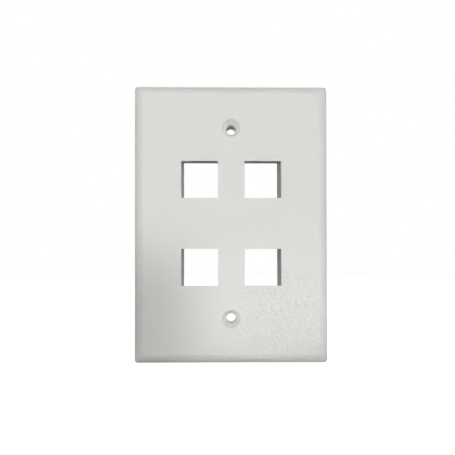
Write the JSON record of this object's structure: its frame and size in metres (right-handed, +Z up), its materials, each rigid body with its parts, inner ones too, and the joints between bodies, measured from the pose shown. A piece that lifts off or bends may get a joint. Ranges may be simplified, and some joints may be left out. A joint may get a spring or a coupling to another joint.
{
  "type": "keystone faceplate",
  "caption": "Rectangular moulded wall plate with a crowned border, square snap-in ports for keystone jacks in a grid, and a countersunk screw hole at the top and the bottom.",
  "frame": {"origin": "centre of the screw pattern, on the wall plane that the rim's back lies in", "axes": "+Z up along the plate's long side, +X to the right as the face is seen, +Y into the wall; the face looks along -Y"},
  "size_m": [0.0864, 0.0104, 0.1238],
  "materials": {
    "white_abs": "fine matt moulded texture"
  },
  "bodies": {
    "root": {"faceplate": "white_abs"}
  },
  "joints": []
}
